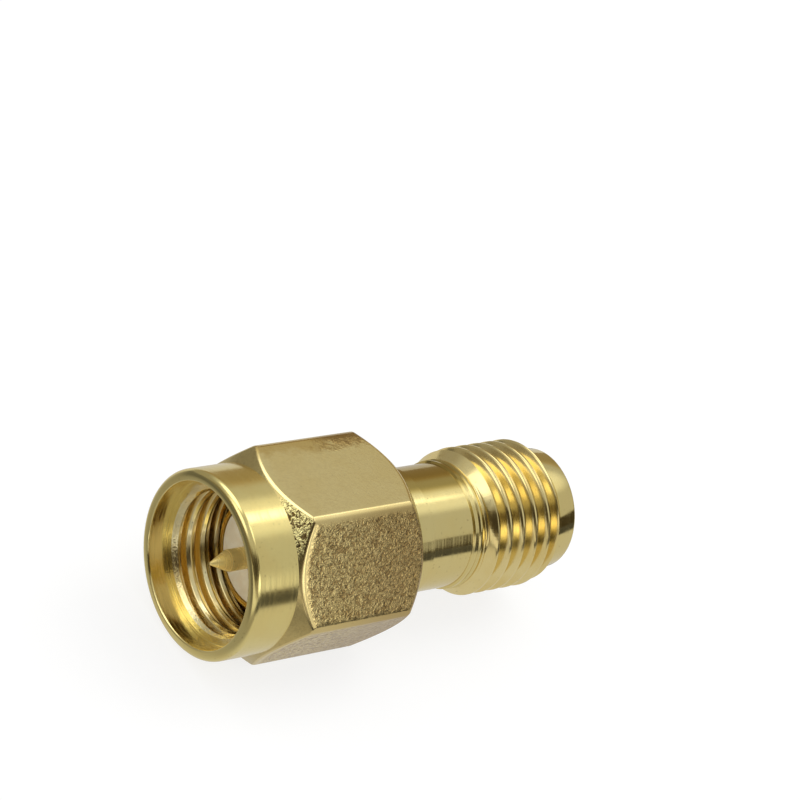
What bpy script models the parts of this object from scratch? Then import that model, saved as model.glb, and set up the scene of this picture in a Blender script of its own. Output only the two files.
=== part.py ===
"""Straight coaxial adapter: a plug with a free coupling nut at one end, a threaded jack at the other.

The adapter lies on one flat of its nut, with the plug towards -X and the jack towards +X.
Its axis runs along X, half the nut's width above the surface that it lies on.
Each piece is turned about its own local Z, which the parent empty lays along X.
"""
import math

import bmesh
import bpy
from mathutils import Vector

MM = 0.001

# Facets round an outer and an inner piece, for each turn of a thread, and across rounded edges.
TURNED_STEPS = 32
INNER_STEPS = 24
THREAD_STEPS = 32
CORNER_STEPS = 2
HEX_EDGE_STEPS = 3

# Thread of the interface: 1/4 inch, 36 turns to the inch, on the jack and inside the nut.
THREAD_PITCH = 25.4 / 36 * MM
JACK_THREAD_DEPTH = 0.41 * MM
NUT_THREAD_DEPTH = 0.36 * MM
THREAD_ROOT_FLAT = 0.09 * MM
THREAD_HALF_ANGLE = math.radians(30.0)
FLANK_OVERSHOOT = 0.03 * MM
TOOL_OVERSHOOT = 0.15 * MM

# Coupling nut, outside: its walls over the bores, and its lengths.
HEX_WALL = 0.45 * MM
HEX_EDGE_RADIUS = 0.40 * MM
HEX_LENGTH = 6.35 * MM
NOSE_WALL = 0.50 * MM
NOSE_LENGTH = 2.15 * MM
NOSE_EDGE_RADIUS = 0.16 * MM
REAR_CHAMFER_DEPTH = 0.72 * MM
CHAMFER_ANGLE = math.radians(45.0)

# Coupling nut, inside, from its mouth to its rear: the mouth and the relief clear the thread.
MOUTH_CLEARANCE = 0.16 * MM
MOUTH_DEPTH = 0.95 * MM
MOUTH_EDGE = 0.08 * MM
THREAD_LEAD_IN = 0.20 * MM
NUT_THREAD_LENGTH = 3.80 * MM
RELIEF_CLEARANCE = 0.06 * MM
RELIEF_LENGTH = 0.60 * MM
FRONT_LIP_LENGTH = 0.50 * MM
REAR_LIP_LENGTH = 0.55 * MM
REAR_BORE_EDGE = 0.12 * MM

# Split retaining ring, sprung out past the lips into the nut's groove.
RING_HOLD = 0.22 * MM
RING_WALL = 0.40 * MM
RING_WIDTH = 0.40 * MM
RING_SPLIT = 0.80 * MM

# Clearances: the nut turns on the body, floats along it, and the ring lies loosely in its grooves.
RUNNING_CLEARANCE = 0.08 * MM
SHOULDER_CLEARANCE = 0.18 * MM
REAR_BORE_CLEARANCE = 0.45 * MM
RING_CLEARANCE = 0.05 * MM
RING_SLACK = 0.28 * MM
NUT_FLOAT = 0.30 * MM
COLLAR_CLEARANCE = 0.10 * MM
SEAT_CLEARANCE = 0.03 * MM

# Adapter body, plug end.
BODY_BORE_RADIUS = 2.08 * MM
PLUG_RECESS = 2.75 * MM
SLEEVE_WALL = 0.195 * MM
SLEEVE_EDGE = 0.05 * MM
SHOULDER_STEP = 0.425 * MM
SHOULDER_LIP = 0.55 * MM

# Adapter body, from the collar behind the nut to the jack's face: each step stands over the next.
COLLAR_HOLD = 0.32 * MM
COLLAR_LENGTH = 1.35 * MM
STEP_DROP = 0.15 * MM
STEP_LENGTH = 0.40 * MM
RIM_STEP = 0.08 * MM
RIM_LENGTH = 0.35 * MM
BAND_STEP = 0.10 * MM
BAND_LENGTH = 1.00 * MM
NECK_WALL = 0.57 * MM
NECK_LENGTH = 2.65 * MM
JACK_THREAD_LENGTH = 4.25 * MM
JACK_THREAD_WALL = 0.415 * MM
JACK_NOSE_WALL = 0.275 * MM
JACK_NOSE_LENGTH = 0.92 * MM
JACK_NOSE_EDGE = 0.09 * MM
NOSE_GROOVE_DEPTH = 0.09 * MM
NOSE_GROOVE_LENGTH = 0.12 * MM
JACK_BORE_STEP = 0.245 * MM
JACK_BORE_DEPTH = 2.00 * MM
JACK_BORE_EDGE = 0.05 * MM

# Insulators and the centre contact, a pin at both ends.
INSULATOR_RECESS = 0.04 * MM
INSULATOR_JOINT = 0.05 * MM
INSULATOR_EDGE = 0.06 * MM
PIN_RADIUS = 0.46 * MM
PLUG_PIN_REACH = 2.07 * MM
PLUG_TIP_LENGTH = 0.85 * MM
JACK_PIN_RECESS = 0.09 * MM
JACK_TIP_LENGTH = 0.60 * MM
PIN_TIP_RADIUS = 0.07 * MM
SHANK_RADIUS = 0.635 * MM
SHANK_COVER = 0.35 * MM
FLANGE_RADIUS = 1.00 * MM
FLANGE_LENGTH = 0.45 * MM

# Radii of the body, from its bore outwards.
SLEEVE_RADIUS = BODY_BORE_RADIUS + SLEEVE_WALL
SHOULDER_RADIUS = SLEEVE_RADIUS + SHOULDER_STEP
LIP_BORE_RADIUS = SHOULDER_RADIUS + RUNNING_CLEARANCE
COLLAR_RADIUS = LIP_BORE_RADIUS + COLLAR_HOLD
STEP_RADIUS = COLLAR_RADIUS - STEP_DROP
NECK_RADIUS = BODY_BORE_RADIUS + NECK_WALL
BAND_RADIUS = NECK_RADIUS + BAND_STEP
RIM_RADIUS = BAND_RADIUS + RIM_STEP
JACK_BORE_RADIUS = BODY_BORE_RADIUS + JACK_BORE_STEP
JACK_NOSE_RADIUS = JACK_BORE_RADIUS + JACK_NOSE_WALL
JACK_ROOT_RADIUS = JACK_BORE_RADIUS + JACK_THREAD_WALL
JACK_CREST_RADIUS = JACK_ROOT_RADIUS + JACK_THREAD_DEPTH

# Radii of the ring and the nut, over the body.
RING_OUTER_RADIUS = LIP_BORE_RADIUS + RING_HOLD
RING_INNER_RADIUS = RING_OUTER_RADIUS - RING_WALL
RING_GROOVE_RADIUS = RING_INNER_RADIUS - RING_SLACK
NUT_GROOVE_RADIUS = RING_OUTER_RADIUS + RING_CLEARANCE
NUT_CREST_RADIUS = SHOULDER_RADIUS + SHOULDER_CLEARANCE
NUT_ROOT_RADIUS = NUT_CREST_RADIUS + NUT_THREAD_DEPTH
MOUTH_RADIUS = NUT_ROOT_RADIUS + MOUTH_CLEARANCE
NOSE_RADIUS = MOUTH_RADIUS + NOSE_WALL
RELIEF_RADIUS = NUT_ROOT_RADIUS + RELIEF_CLEARANCE
REAR_BORE_RADIUS = COLLAR_RADIUS + REAR_BORE_CLEARANCE
HEX_ACROSS_FLATS = 2 * (REAR_BORE_RADIUS + HEX_WALL)
HEX_CORNER_RADIUS = HEX_ACROSS_FLATS / math.sqrt(3)
REAR_FACE_RADIUS = HEX_CORNER_RADIUS - REAR_CHAMFER_DEPTH
AXIS_HEIGHT = HEX_ACROSS_FLATS / 2

# Stations along the axis, from the nut's front face.
NUT_LENGTH = NOSE_LENGTH + HEX_LENGTH
THREAD_START = MOUTH_DEPTH
THREAD_END = THREAD_START + NUT_THREAD_LENGTH
RELIEF_END = THREAD_END + RELIEF_LENGTH
NUT_GROOVE_START = RELIEF_END + FRONT_LIP_LENGTH
NUT_GROOVE_END = NUT_GROOVE_START + RING_WIDTH + 2 * RING_CLEARANCE
REAR_LIP_END = NUT_GROOVE_END + REAR_LIP_LENGTH
RING_START = NUT_GROOVE_START + RING_CLEARANCE
RING_END = RING_START + RING_WIDTH
BODY_GROOVE_START = RING_START - NUT_FLOAT - RING_CLEARANCE
BODY_GROOVE_END = RING_END + COLLAR_CLEARANCE
SHOULDER_START = BODY_GROOVE_START - SHOULDER_LIP
COLLAR_START = REAR_LIP_END + COLLAR_CLEARANCE
COLLAR_END = COLLAR_START + COLLAR_LENGTH
STEP_END = COLLAR_END + STEP_LENGTH
RIM_END = STEP_END + RIM_LENGTH
BAND_END = RIM_END + BAND_LENGTH
NECK_END = BAND_END + NECK_LENGTH
JACK_THREAD_END = NECK_END + JACK_THREAD_LENGTH
NOSE_GROOVE_END = JACK_THREAD_END + NOSE_GROOVE_LENGTH
JACK_FRONT = NOSE_GROOVE_END + JACK_NOSE_LENGTH
JACK_BORE_END = JACK_FRONT - JACK_BORE_DEPTH
BODY_MIDDLE = (PLUG_RECESS + JACK_BORE_END) / 2


def clear_scene():
    for obj in list(bpy.data.objects):
        bpy.data.objects.remove(obj, do_unlink=True)


def new_collection(name):
    collection = bpy.data.collections.new(name)
    bpy.context.scene.collection.children.link(collection)
    return collection


def new_material(name, colour, metallic, roughness):
    material = bpy.data.materials.new(name)
    material.use_nodes = True
    shader = material.node_tree.nodes["Principled BSDF"]
    shader.inputs["Base Color"].default_value = (*colour, 1.0)
    shader.inputs["Metallic"].default_value = metallic
    shader.inputs["Roughness"].default_value = roughness
    return material


def new_object(name, mesh, collection, parent, station=0.0):
    obj = bpy.data.objects.new(name, mesh)
    collection.objects.link(obj)
    obj.parent = parent
    obj.location = (0.0, 0.0, station)
    return obj


def mark_cutter(obj):
    obj.hide_render = True
    obj.display_type = "WIRE"
    return obj


def corner_points(before, corner, after, radius):
    """Points of the arc that rounds one corner of an outline."""
    to_before = (before - corner).normalized()
    to_after = (after - corner).normalized()
    half_angle = to_before.angle(to_after) / 2
    setback = radius / math.tan(half_angle)
    centre = corner + (to_before + to_after).normalized() * radius / math.sin(half_angle)
    first = (corner + to_before * setback - centre).normalized()
    last = (corner + to_after * setback - centre).normalized()
    shares = [step / CORNER_STEPS for step in range(CORNER_STEPS + 1)]
    return [centre + first.slerp(last, share) * radius for share in shares]


def rounded_outline(outline):
    """Outline as (radius, station) points, its corners rounded where a third value gives a radius."""
    points = []
    count = len(outline)
    for index, entry in enumerate(outline):
        corner = Vector(entry[:2])
        if len(entry) < 3:
            points.append(corner)
            continue
        before = Vector(outline[index - 1][:2])
        after = Vector(outline[(index + 1) % count][:2])
        points.extend(corner_points(before, corner, after, entry[2]))
    return points


def profile_mesh(name, outline, closed):
    """Mesh of one profile in the XZ plane, to be turned about Z."""
    points = rounded_outline(outline)
    edges = [(index, index + 1) for index in range(len(points) - 1)]
    if closed:
        edges.append((len(points) - 1, 0))
    mesh = bpy.data.meshes.new(name)
    mesh.from_pydata([(radius, 0.0, station) for radius, station in points], edges, [])
    return mesh


def add_screw(obj, steps, turns=1, rise=0.0):
    screw = obj.modifiers.new("Turn", "SCREW")
    screw.axis = "Z"
    screw.angle = math.tau
    screw.steps = steps
    screw.render_steps = steps
    screw.iterations = turns
    screw.screw_offset = rise
    screw.use_merge_vertices = rise == 0.0
    screw.merge_threshold = 1e-7
    screw.use_smooth_shade = False


def turned(name, outline, collection, parent, station=0.0, steps=TURNED_STEPS):
    """Hollow turned piece: a closed profile, down its outer side and back up its bore."""
    obj = new_object(name, profile_mesh(name, outline, True), collection, parent, station)
    add_screw(obj, steps)
    return obj


def freeze(obj):
    """Replaces an object's mesh with its evaluated one, and drops the modifiers."""
    depsgraph = bpy.context.evaluated_depsgraph_get()
    mesh = bpy.data.meshes.new_from_object(obj.evaluated_get(depsgraph))
    obj.modifiers.clear()
    obj.data = mesh
    return mesh


def close_ends(obj):
    """Closes the open ends of a turned or helical skin with flat faces."""
    mesh = freeze(obj)
    shape = bmesh.new()
    shape.from_mesh(mesh)
    bmesh.ops.holes_fill(shape, edges=[edge for edge in shape.edges if edge.is_boundary])
    bmesh.ops.recalc_face_normals(shape, faces=shape.faces)
    shape.to_mesh(mesh)
    shape.free()


def turned_solid(name, outline, collection, parent, station=0.0):
    """Solid turned piece: an open profile, down its outer side, with its two ends closed flat."""
    obj = new_object(name, profile_mesh(name, outline, False), collection, parent, station)
    add_screw(obj, INNER_STEPS)
    close_ends(obj)
    return obj


def add_boolean(obj, other, operation):
    boolean = obj.modifiers.new(operation.title(), "BOOLEAN")
    boolean.operation = operation
    boolean.solver = "EXACT"
    boolean.object = other


def thread_tool(name, crest, root, length, cutters, parent, station):
    """Helical tool that cuts one thread between its crest and root radius.

    The tool is flat at the root and spreads at the thread's half angle until it is just past the
    crest. From there its sides run straight, so the turns of the tool never meet one another.
    """
    outward = 1.0 if root > crest else -1.0
    half_flat = THREAD_ROOT_FLAT / 2
    flank_end = crest - outward * FLANK_OVERSHOOT
    half_mouth = half_flat + abs(root - flank_end) * math.tan(THREAD_HALF_ANGLE)
    beyond = crest - outward * TOOL_OVERSHOOT
    section = [(root, half_flat), (flank_end, half_mouth), (beyond, half_mouth),
               (beyond, -half_mouth), (flank_end, -half_mouth), (root, -half_flat)]
    turns = math.ceil(length / THREAD_PITCH)
    tool = new_object(name, profile_mesh(name, section, True), cutters, parent, station)
    add_screw(tool, THREAD_STEPS, turns, THREAD_PITCH)
    close_ends(tool)
    return mark_cutter(tool)


def make_nut(parts, cutters, axis, gold):
    """Coupling nut: a hexagon turned down to a round nose, bored and threaded."""
    rear_chamfer = (HEX_CORNER_RADIUS - REAR_FACE_RADIUS) / math.tan(CHAMFER_ANGLE)
    front_chamfer = (HEX_CORNER_RADIUS - NOSE_RADIUS) / math.tan(CHAMFER_ANGLE)
    blank = turned("coupling_nut", [
        (REAR_FACE_RADIUS, NUT_LENGTH),
        (HEX_CORNER_RADIUS, NUT_LENGTH - rear_chamfer),
        (HEX_CORNER_RADIUS, NOSE_LENGTH + front_chamfer),
        (NOSE_RADIUS, NOSE_LENGTH),
        (NOSE_RADIUS, 0.0, NOSE_EDGE_RADIUS),
        (MOUTH_RADIUS + MOUTH_EDGE, 0.0),
        (MOUTH_RADIUS, MOUTH_EDGE),
        (MOUTH_RADIUS, MOUTH_DEPTH),
        (NUT_CREST_RADIUS + THREAD_LEAD_IN, MOUTH_DEPTH),
        (NUT_CREST_RADIUS, MOUTH_DEPTH + THREAD_LEAD_IN),
        (NUT_CREST_RADIUS, THREAD_END),
        (RELIEF_RADIUS, THREAD_END),
        (RELIEF_RADIUS, RELIEF_END),
        (LIP_BORE_RADIUS, RELIEF_END),
        (LIP_BORE_RADIUS, NUT_GROOVE_START),
        (NUT_GROOVE_RADIUS, NUT_GROOVE_START),
        (NUT_GROOVE_RADIUS, NUT_GROOVE_END),
        (LIP_BORE_RADIUS, NUT_GROOVE_END),
        (LIP_BORE_RADIUS, REAR_LIP_END),
        (REAR_BORE_RADIUS, REAR_LIP_END),
        (REAR_BORE_RADIUS, NUT_LENGTH - REAR_BORE_EDGE),
        (REAR_BORE_RADIUS + REAR_BORE_EDGE, NUT_LENGTH),
    ], parts, axis)
    blank.data.materials.append(gold)

    tool_start = THREAD_START - THREAD_PITCH
    tool_length = NUT_THREAD_LENGTH + THREAD_PITCH + RELIEF_LENGTH / 2
    add_boolean(blank, thread_tool("nut_thread_tool", NUT_CREST_RADIUS, NUT_ROOT_RADIUS,
                                   tool_length, cutters, axis, tool_start), "DIFFERENCE")
    add_boolean(blank, hexagon_bar(cutters, axis), "INTERSECT")


def hexagon_bar(cutters, axis):
    """Hexagon bar with rounded edges, longer than the nut, with a flat facing straight down."""
    shape = bmesh.new()
    bmesh.ops.create_cone(shape, cap_ends=True, segments=6, radius1=HEX_CORNER_RADIUS,
                          radius2=HEX_CORNER_RADIUS, depth=NUT_LENGTH + 2 * TOOL_OVERSHOOT)
    long_edges = [edge for edge in shape.edges
                  if abs(edge.verts[0].co.z - edge.verts[1].co.z) > NUT_LENGTH]
    setback = HEX_EDGE_RADIUS * math.tan(math.pi / 6)
    bmesh.ops.bevel(shape, geom=long_edges, offset=setback, offset_type="OFFSET",
                    segments=HEX_EDGE_STEPS, profile=0.5, affect="EDGES")
    mesh = bpy.data.meshes.new("hexagon_bar")
    shape.to_mesh(mesh)
    shape.free()
    return mark_cutter(new_object("hexagon_bar", mesh, cutters, axis, NUT_LENGTH / 2))


def make_ring(parts, cutters, axis, bronze):
    """Split retaining ring of square section, half in the nut's groove and half in the body's."""
    ring = turned("retaining_ring", [
        (RING_OUTER_RADIUS, RING_WIDTH),
        (RING_OUTER_RADIUS, 0.0),
        (RING_INNER_RADIUS, 0.0),
        (RING_INNER_RADIUS, RING_WIDTH),
    ], parts, axis, RING_START)
    ring.data.materials.append(bronze)

    shape = bmesh.new()
    bmesh.ops.create_cube(shape, size=1.0)
    bmesh.ops.scale(shape, verts=shape.verts,
                    vec=(2 * RING_WALL + TOOL_OVERSHOOT, RING_SPLIT, 2 * RING_WIDTH))
    mesh = bpy.data.meshes.new("ring_split")
    shape.to_mesh(mesh)
    shape.free()
    split = mark_cutter(new_object("ring_split", mesh, cutters, axis, RING_START + RING_WIDTH / 2))
    split.location.x = -(RING_INNER_RADIUS + RING_OUTER_RADIUS) / 2
    add_boolean(ring, split, "DIFFERENCE")


def make_body(parts, cutters, axis, gold):
    """Adapter body: plug sleeve, ring groove, collar, neck, threaded jack and its bore in one piece."""
    neck_chamfer = (JACK_CREST_RADIUS - NECK_RADIUS) / math.tan(CHAMFER_ANGLE)
    nose_chamfer = (JACK_CREST_RADIUS - JACK_ROOT_RADIUS) / math.tan(CHAMFER_ANGLE)
    groove_radius = JACK_NOSE_RADIUS - NOSE_GROOVE_DEPTH
    body = turned("adapter_body", [
        (JACK_NOSE_RADIUS, JACK_FRONT, JACK_NOSE_EDGE),
        (JACK_NOSE_RADIUS, NOSE_GROOVE_END),
        (groove_radius, NOSE_GROOVE_END),
        (groove_radius, JACK_THREAD_END),
        (JACK_ROOT_RADIUS, JACK_THREAD_END),
        (JACK_CREST_RADIUS, JACK_THREAD_END - nose_chamfer),
        (JACK_CREST_RADIUS, NECK_END + neck_chamfer),
        (NECK_RADIUS, NECK_END),
        (NECK_RADIUS, BAND_END),
        (BAND_RADIUS, BAND_END),
        (BAND_RADIUS, RIM_END),
        (RIM_RADIUS, RIM_END),
        (RIM_RADIUS, STEP_END),
        (STEP_RADIUS, STEP_END),
        (STEP_RADIUS, COLLAR_END),
        (COLLAR_RADIUS, COLLAR_END),
        (COLLAR_RADIUS, COLLAR_START),
        (SHOULDER_RADIUS, COLLAR_START),
        (SHOULDER_RADIUS, BODY_GROOVE_END),
        (RING_GROOVE_RADIUS, BODY_GROOVE_END),
        (RING_GROOVE_RADIUS, BODY_GROOVE_START),
        (SHOULDER_RADIUS, BODY_GROOVE_START),
        (SHOULDER_RADIUS, SHOULDER_START),
        (SLEEVE_RADIUS, SHOULDER_START),
        (SLEEVE_RADIUS, PLUG_RECESS, SLEEVE_EDGE),
        (BODY_BORE_RADIUS, PLUG_RECESS),
        (BODY_BORE_RADIUS, JACK_BORE_END),
        (JACK_BORE_RADIUS, JACK_BORE_END),
        (JACK_BORE_RADIUS, JACK_FRONT - JACK_BORE_EDGE),
        (JACK_BORE_RADIUS + JACK_BORE_EDGE, JACK_FRONT),
    ], parts, axis)
    body.data.materials.append(gold)

    tool = thread_tool("jack_thread_tool", JACK_CREST_RADIUS, JACK_ROOT_RADIUS,
                       JACK_THREAD_LENGTH + THREAD_PITCH, cutters, axis, NECK_END - THREAD_PITCH / 2)
    add_boolean(body, tool, "DIFFERENCE")


def make_insulator(name, face, joint, parts, axis, plastic):
    """PTFE sleeve from one end's face to the joint in the middle, stepped to trap the contact."""
    inward = 1.0 if joint > face else -1.0
    outer = BODY_BORE_RADIUS - SEAT_CLEARANCE
    pin_bore = PIN_RADIUS + SEAT_CLEARANCE
    shank_bore = SHANK_RADIUS + SEAT_CLEARANCE
    flange_bore = FLANGE_RADIUS + SEAT_CLEARANCE
    shank_start = face + inward * SHANK_COVER
    flange_start = joint - inward * (FLANGE_LENGTH - INSULATOR_JOINT) / 2 - inward * SEAT_CLEARANCE
    outline = [
        (outer, joint),
        (outer, face, INSULATOR_EDGE),
        (pin_bore, face),
        (pin_bore, shank_start),
        (shank_bore, shank_start),
        (shank_bore, flange_start),
        (flange_bore, flange_start),
        (flange_bore, joint),
    ]
    if inward < 0:
        outline = outline[1::-1] + outline[:1:-1]
    insulator = turned(name, outline, parts, axis, steps=INNER_STEPS)
    insulator.data.materials.append(plastic)


def make_contact(parts, axis, gold):
    """Centre contact: one turned pin with a tip at each end and a flange trapped in the middle."""
    plug_tip = PLUG_RECESS - PLUG_PIN_REACH
    jack_tip = JACK_FRONT - JACK_PIN_RECESS
    shank_start = PLUG_RECESS + INSULATOR_RECESS + SHANK_COVER + SEAT_CLEARANCE
    shank_end = JACK_BORE_END - INSULATOR_RECESS - SHANK_COVER - SEAT_CLEARANCE
    half_flange = FLANGE_LENGTH / 2
    contact = turned_solid("centre_contact", [
        (PIN_TIP_RADIUS, jack_tip),
        (PIN_RADIUS, jack_tip - JACK_TIP_LENGTH),
        (PIN_RADIUS, shank_end),
        (SHANK_RADIUS, shank_end),
        (SHANK_RADIUS, BODY_MIDDLE + half_flange),
        (FLANGE_RADIUS, BODY_MIDDLE + half_flange),
        (FLANGE_RADIUS, BODY_MIDDLE - half_flange),
        (SHANK_RADIUS, BODY_MIDDLE - half_flange),
        (SHANK_RADIUS, shank_start),
        (PIN_RADIUS, shank_start),
        (PIN_RADIUS, plug_tip + PLUG_TIP_LENGTH),
        (PIN_TIP_RADIUS, plug_tip),
    ], parts, axis)
    contact.data.materials.append(gold)


def main():
    clear_scene()
    parts = new_collection("coax_adapter")
    cutters = new_collection("cutters")
    gold = new_material("gold_plated_brass", (0.80, 0.62, 0.28), 1.0, 0.28)
    bronze = new_material("spring_bronze", (0.72, 0.50, 0.24), 1.0, 0.35)
    plastic = new_material("ptfe", (0.86, 0.84, 0.80), 0.0, 0.45)

    axis = bpy.data.objects.new("adapter_axis", None)
    parts.objects.link(axis)
    axis.location = (-JACK_FRONT / 2, 0.0, AXIS_HEIGHT)
    axis.rotation_euler = (0.0, math.pi / 2, 0.0)

    make_nut(parts, cutters, axis, gold)
    make_ring(parts, cutters, axis, bronze)
    make_body(parts, cutters, axis, gold)
    half_joint = INSULATOR_JOINT / 2
    make_insulator("plug_insulator", PLUG_RECESS + INSULATOR_RECESS, BODY_MIDDLE - half_joint,
                   parts, axis, plastic)
    make_insulator("jack_insulator", JACK_BORE_END - INSULATOR_RECESS, BODY_MIDDLE + half_joint,
                   parts, axis, plastic)
    make_contact(parts, axis, gold)


main()
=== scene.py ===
"""Looks of a gold-plated coax adapter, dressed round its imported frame."""

import math

import bmesh
import bpy
from mathutils import Matrix, Vector


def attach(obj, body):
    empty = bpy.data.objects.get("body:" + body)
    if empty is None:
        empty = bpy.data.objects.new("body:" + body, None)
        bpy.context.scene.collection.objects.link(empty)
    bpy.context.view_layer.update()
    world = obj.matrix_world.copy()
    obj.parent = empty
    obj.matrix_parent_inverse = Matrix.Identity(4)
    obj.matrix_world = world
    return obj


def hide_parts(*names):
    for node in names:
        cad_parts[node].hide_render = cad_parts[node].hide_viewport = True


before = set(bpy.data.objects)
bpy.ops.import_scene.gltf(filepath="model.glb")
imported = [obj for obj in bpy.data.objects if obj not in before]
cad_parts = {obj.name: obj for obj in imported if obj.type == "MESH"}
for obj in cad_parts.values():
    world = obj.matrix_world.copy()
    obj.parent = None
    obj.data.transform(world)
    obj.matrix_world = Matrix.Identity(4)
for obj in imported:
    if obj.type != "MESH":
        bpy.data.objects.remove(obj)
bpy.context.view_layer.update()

# Pieces are shaped in millimetres along their own axis, and then laid in place in metres.
MM = 0.001
HALF_LENGTH = 9.02
AXIS_HEIGHT = 4.0
WELD = 0.0005
ROUND_STEPS = 120
PIN_STEPS = 72

# The thread of both ends: 36 turns to the inch, with slightly rounded crests and roots.
PITCH = 25.4 / 36
FLANK_SLOPE = math.tan(math.radians(30.0))
ROOT_FLAT = 0.09
THREAD_SOFT = 0.03
TAP_CREST_SOFT = 0.07
FLANK_MARGIN = 0.14

# Coupling nut
NUT_LENGTH = 8.5
NOSE_LENGTH = 2.15
NOSE_RADIUS = 3.90
FLATS_HALF = 4.0
HEX_CORNER = FLATS_HALF * 2 / math.sqrt(3)
REAR_CHAMFER = 0.72
CORNERS_START = NOSE_LENGTH + HEX_CORNER - NOSE_RADIUS
REAR_FACE = HEX_CORNER - REAR_CHAMFER
MOUTH_DEPTH = 0.95
MOUTH_RADIUS = 3.40
NUT_BORE = 2.86
REAR_BORE = 3.55

# How far the long edges of the hexagon and its arcs are rolled over
LONG_ROLL = 0.22
ARC_ROLL = 0.12

NUT_PROFILE = [
    # Nose, front chamfer, hexagon's corners and rear chamfer
    (0.0, NOSE_RADIUS), (NOSE_LENGTH, NOSE_RADIUS), (CORNERS_START, HEX_CORNER),
    (NUT_LENGTH - REAR_CHAMFER, HEX_CORNER), (NUT_LENGTH, REAR_FACE),
    # Rear bore, with its edge broken
    (NUT_LENGTH, 3.67), (NUT_LENGTH - 0.12, REAR_BORE), (6.9, REAR_BORE),
    # Groove of the retaining ring between its two lips
    (6.9, 2.78), (6.35, 2.78), (6.35, 3.05), (5.85, 3.05), (5.85, 2.78), (5.35, 2.78),
    # Relief, bore of the thread with its chamfer, and plain mouth
    (5.35, 3.30), (4.75, 3.30), (4.75, NUT_BORE), (1.17, NUT_BORE), (MOUTH_DEPTH, 3.08),
    (MOUTH_DEPTH, MOUTH_RADIUS), (0.0, MOUTH_RADIUS), (0.0, NOSE_RADIUS)]

# Jack: where its thread starts, how many turns it has, and where the step at its nose is
JACK_THREAD = 12.78
JACK_TURNS = 6
JACK_STEP = 17.0

BODY_PROFILE = [
    # Plain nose of the jack and the step behind it
    (18.04, 2.60), (17.12, 2.60), (17.12, 2.51), (JACK_STEP, 2.51),
    # Part that gets the thread, chamfered at both ends
    (JACK_STEP, 2.74), (16.57, 3.17), (13.22, 3.17), (JACK_THREAD, 2.73),
    # Two fine rings at the foot of the thread, and the neck
    (12.68, 2.76), (12.58, 2.76), (12.53, 2.69), (12.44, 2.69), (12.39, 2.74), (12.30, 2.74),
    (12.24, 2.65), (10.1, 2.65),
    # Steps up to the collar in the nut's rear bore, and down to where its lips run
    (10.1, 2.75), (9.1, 2.75), (9.1, 2.83), (8.75, 2.83), (8.75, 2.95), (8.35, 2.95),
    (8.35, 3.10), (7.0, 3.10), (7.0, 2.70), (6.4, 2.70),
    # Groove of the retaining ring, wider than the ring by the nut's float
    (6.4, 2.32), (5.55, 2.32), (5.55, 2.70), (5.0, 2.70),
    # Sleeve of the plug, bore through the body and wider bore of the jack
    (5.0, 2.275), (2.75, 2.275), (2.75, 2.08), (16.04, 2.08), (16.04, 2.325),
    (17.99, 2.325), (18.04, 2.375), (18.04, 2.60)]

# Insulators: outside, and bores for the contact's pins, shank and flange
PTFE_RADIUS = 2.05
PIN_BORE = 0.49
SHANK_BORE = 0.665
FLANGE_BORE = 1.03

PIN_PROFILE = [
    # Sharp cone of the plug's pin, and the pin
    (0.68, 0.0), (0.68, 0.07), (1.53, 0.46), (3.17, 0.46),
    # Shank with its flange
    (3.17, 0.635), (9.17, 0.635), (9.17, 1.0), (9.62, 1.0), (9.62, 0.635), (15.62, 0.635),
    # Pin of the jack and its blunter tip
    (15.62, 0.46), (17.35, 0.46), (17.95, 0.07), (17.95, 0.0)]


# Modelling by hand

def deselect():
    bpy.ops.object.select_all(action="DESELECT")


def make_active(piece):
    deselect()
    piece.select_set(True)
    bpy.context.view_layer.objects.active = piece


def edit(piece):
    """Opens a piece in edit mode with all of it selected."""
    make_active(piece)
    bpy.ops.object.mode_set(mode="EDIT")
    bpy.ops.mesh.select_all(action="SELECT")


def done():
    bpy.ops.object.mode_set(mode="OBJECT")


def draw(name, outline):
    """Draws an outline of (station, radius) points as a chain of edges, and stays in edit mode."""
    deselect()
    station, radius = outline[0]
    bpy.ops.mesh.primitive_plane_add(size=1.0)
    piece = bpy.context.active_object
    piece.name = piece.data.name = name
    bpy.ops.object.mode_set(mode="EDIT")
    bpy.ops.mesh.select_mode(type="VERT")
    bpy.ops.mesh.select_all(action="SELECT")
    bpy.ops.mesh.merge(type="CENTER")
    bpy.ops.transform.translate(value=(station, 0.0, radius))
    for before, after in zip(outline, outline[1:]):
        step = (after[0] - before[0], 0.0, after[1] - before[1])
        bpy.ops.mesh.extrude_region_move(TRANSFORM_OT_translate={"value": step})
    return piece


def weld():
    bpy.ops.mesh.select_all(action="SELECT")
    bpy.ops.mesh.remove_doubles(threshold=WELD)
    bpy.ops.mesh.normals_make_consistent(inside=False)


def reach(point):
    """Distance of a point from the axis."""
    return math.hypot(point.y, point.z)


def pick_edges(piece, wanted):
    """Selects the edges of the piece for which wanted(edge) is true."""
    bpy.ops.mesh.select_mode(type="EDGE")
    bpy.ops.mesh.select_all(action="DESELECT")
    mesh = bmesh.from_edit_mesh(piece.data)
    for edge in mesh.edges:
        edge.select_set(wanted(edge))
    bmesh.update_edit_mesh(piece.data)


def round_ring(piece, station, radius, width, segments):
    """Bevels the turned edge at one station and radius."""
    near = WELD * 4

    def on_ring(edge):
        return all(abs(vert.co.x - station) < near and abs(reach(vert.co) - radius) < near
                   for vert in edge.verts)
    pick_edges(piece, on_ring)
    bpy.ops.mesh.bevel(offset=width, segments=segments, affect="EDGES")


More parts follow.
